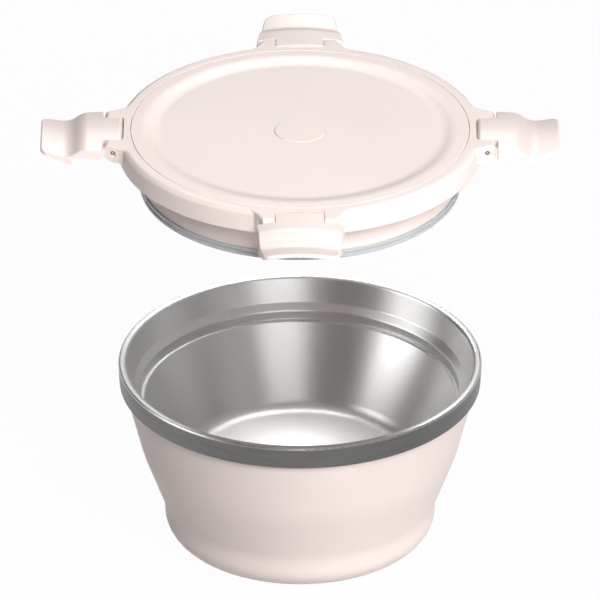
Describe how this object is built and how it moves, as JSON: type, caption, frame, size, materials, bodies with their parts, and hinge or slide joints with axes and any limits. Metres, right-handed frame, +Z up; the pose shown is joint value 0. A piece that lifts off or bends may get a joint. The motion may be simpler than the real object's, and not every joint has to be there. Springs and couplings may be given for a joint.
{
  "type": "insulated food bowl",
  "caption": "Vacuum-insulated steel food bowl with a painted shell and bare steel rim band, and a lift-off sealed lid held down by hinged latch flaps.",
  "frame": {"origin": "centre of the foot, on the surface the bowl stands on", "axes": "+Z up along the bowl's axis, front latch towards -Y"},
  "size_m": [0.2418, 0.2418, 0.2137],
  "materials": {
    "liner_steel": "satin brushed",
    "shell_paint": "matte powder coat",
    "base_steel": "matte powder coat",
    "seal_bead": "fused bead",
    "getter_metal": "sintered",
    "lid_plastic": "satin moulded",
    "plug_plastic": "satin moulded",
    "panel_plastic": "satin moulded",
    "latch_plastic": "satin moulded",
    "gasket_silicone": "translucent silicone",
    "pin_steel": "drawn"
  },
  "bodies": {
    "bowl": {"inner_liner": "liner_steel", "outer_shell": "shell_paint", "base_plate": "base_steel", "vacuum_seal": "seal_bead", "getter": "getter_metal"},
    "lid": {"lid_ring": "lid_plastic", "lid_plug": "plug_plastic", "lid_top_panel": "panel_plastic", "lid_center_disc": "panel_plastic", "lid_gasket": "gasket_silicone", "hinge_pin_right": "pin_steel", "hinge_pin_rear": "pin_steel", "hinge_pin_left": "pin_steel", "hinge_pin_front": "pin_steel"},
    "latch_right": {"latch_right": "latch_plastic"},
    "latch_rear": {"latch_rear": "latch_plastic"},
    "latch_left": {"latch_left": "latch_plastic"},
    "latch_front": {"latch_front": "latch_plastic"}
  },
  "joints": [
    {"name": "lid_lift", "type": "slide", "parent": "bowl", "child": "lid", "axis": [0, 0, 1], "range_m": [-0.1116, 0]},
    {"name": "latch_right_hinge", "type": "hinge", "parent": "lid", "child": "latch_right", "pos_m": [0.0871, 0, 0.2093], "axis": [0, -1, 0], "range_deg": [-90, 10]},
    {"name": "latch_rear_hinge", "type": "hinge", "parent": "lid", "child": "latch_rear", "pos_m": [0, 0.0871, 0.2093], "axis": [1, 0, 0], "range_deg": [-90, 10]},
    {"name": "latch_left_hinge", "type": "hinge", "parent": "lid", "child": "latch_left", "pos_m": [-0.0871, 0, 0.2093], "axis": [0, 1, 0], "range_deg": [-90, 10]},
    {"name": "latch_front_hinge", "type": "hinge", "parent": "lid", "child": "latch_front", "pos_m": [0, -0.0871, 0.2093], "axis": [-1, 0, 0], "range_deg": [-90, 10]}
  ]
}
